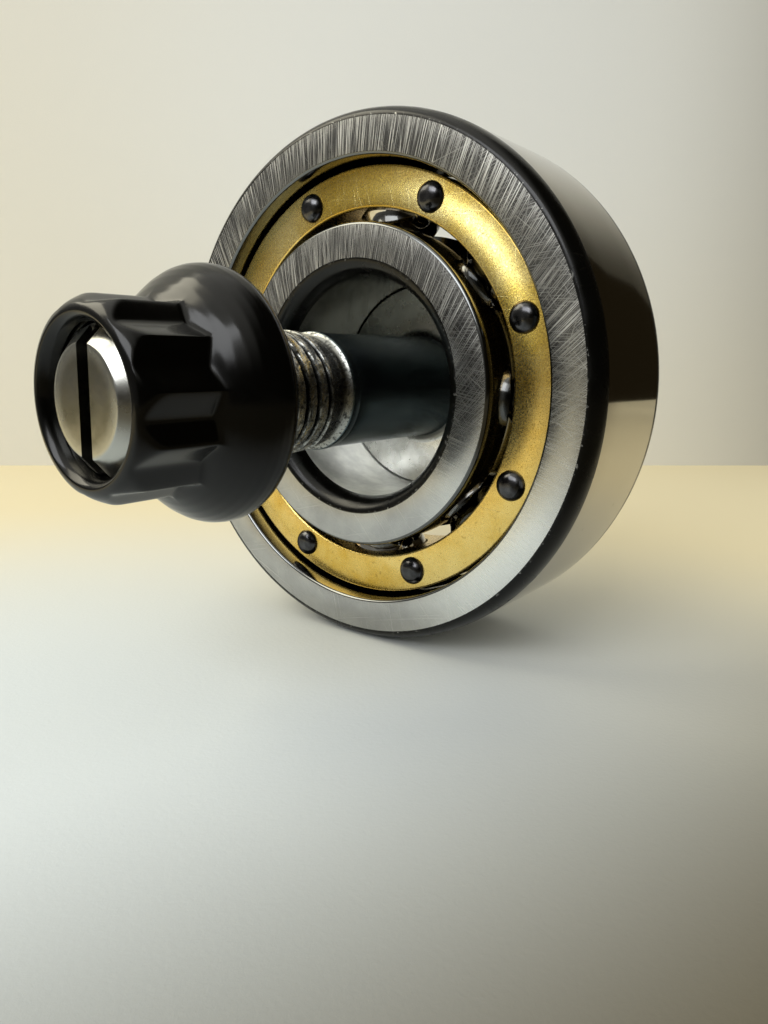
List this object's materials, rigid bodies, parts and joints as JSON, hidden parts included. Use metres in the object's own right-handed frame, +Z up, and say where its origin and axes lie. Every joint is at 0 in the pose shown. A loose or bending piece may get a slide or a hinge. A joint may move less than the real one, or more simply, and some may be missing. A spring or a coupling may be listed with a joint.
{
  "type": "ball bearing with stud and flange nut",
  "caption": "Single-row radial ball bearing with a riveted brass cage, carried by a slotted through stud with a twelve-point flange nut.",
  "frame": {"origin": "centre of the bearing, on its axis and midway between its side faces", "axes": "+Y along the bearing's axis, away from the nut; +Z up, with the outer ring standing on its rim"},
  "size_m": [0.047, 0.0434, 0.047],
  "materials": {
    "ground_steel": "ground faces with fine crossing scratches, black corners",
    "cage_brass": "machined, lightly stained",
    "rivet_steel": "dark domed heads",
    "ball_steel": "polished and oiled",
    "stud_steel": "black oxide, worn bright on the thread and the tip",
    "black_oxide": "glossy black oxide"
  },
  "bodies": {
    "outer": {"outer_ring": "ground_steel"},
    "inner": {"inner_ring": "ground_steel", "stud": "stud_steel"},
    "cage": {"cage_front": "cage_brass", "cage_back": "cage_brass", "rivet_1": "rivet_steel", "rivet_2": "rivet_steel", "rivet_3": "rivet_steel", "rivet_4": "rivet_steel", "rivet_5": "rivet_steel", "rivet_6": "rivet_steel", "rivet_7": "rivet_steel", "rivet_8": "rivet_steel"},
    "nut": {"flange_nut": "black_oxide"},
    "ball_1": {"ball_1": "ball_steel"},
    "ball_2": {"ball_2": "ball_steel"},
    "ball_3": {"ball_3": "ball_steel"},
    "ball_4": {"ball_4": "ball_steel"},
    "ball_5": {"ball_5": "ball_steel"},
    "ball_6": {"ball_6": "ball_steel"},
    "ball_7": {"ball_7": "ball_steel"},
    "ball_8": {"ball_8": "ball_steel"}
  },
  "joints": [
    {"name": "inner_spin", "type": "hinge", "parent": "outer", "child": "inner", "pos_m": [0, 0, 0], "axis": [0, 1, 0], "continuous": true},
    {"name": "cage_spin", "type": "hinge", "parent": "outer", "child": "cage", "pos_m": [0, 0, 0], "axis": [0, 1, 0], "continuous": true},
    {"name": "nut_turn", "type": "hinge", "parent": "inner", "child": "nut", "pos_m": [0, -0.0279, 0], "axis": [0, 1, 0], "continuous": true},
    {"name": "ball_1_roll", "type": "hinge", "parent": "cage", "child": "ball_1", "pos_m": [0.01125, 0, -0.01241], "axis": [0, 1, 0], "continuous": true},
    {"name": "ball_2_roll", "type": "hinge", "parent": "cage", "child": "ball_2", "pos_m": [-0.00082, 0, -0.01673], "axis": [0, 1, 0], "continuous": true},
    {"name": "ball_3_roll", "type": "hinge", "parent": "cage", "child": "ball_3", "pos_m": [-0.01241, 0, -0.01125], "axis": [0, 1, 0], "continuous": true},
    {"name": "ball_4_roll", "type": "hinge", "parent": "cage", "child": "ball_4", "pos_m": [-0.01673, 0, 0.00082], "axis": [0, 1, 0], "continuous": true},
    {"name": "ball_5_roll", "type": "hinge", "parent": "cage", "child": "ball_5", "pos_m": [-0.01125, 0, 0.01241], "axis": [0, 1, 0], "continuous": true},
    {"name": "ball_6_roll", "type": "hinge", "parent": "cage", "child": "ball_6", "pos_m": [0.00082, 0, 0.01673], "axis": [0, 1, 0], "continuous": true},
    {"name": "ball_7_roll", "type": "hinge", "parent": "cage", "child": "ball_7", "pos_m": [0.01241, 0, 0.01125], "axis": [0, 1, 0], "continuous": true},
    {"name": "ball_8_roll", "type": "hinge", "parent": "cage", "child": "ball_8", "pos_m": [0.01673, 0, -0.00082], "axis": [0, 1, 0], "continuous": true}
  ],
  "couplings": [
    {"joint": "cage_spin", "follows": "inner_spin", "ratio": 0.38152},
    {"joint": "ball_1_roll", "follows": "inner_spin", "ratio": -1.9916},
    {"joint": "ball_2_roll", "follows": "inner_spin", "ratio": -1.9916},
    {"joint": "ball_3_roll", "follows": "inner_spin", "ratio": -1.9916},
    {"joint": "ball_4_roll", "follows": "inner_spin", "ratio": -1.9916},
    {"joint": "ball_5_roll", "follows": "inner_spin", "ratio": -1.9916},
    {"joint": "ball_6_roll", "follows": "inner_spin", "ratio": -1.9916},
    {"joint": "ball_7_roll", "follows": "inner_spin", "ratio": -1.9916},
    {"joint": "ball_8_roll", "follows": "inner_spin", "ratio": -1.9916}
  ]
}
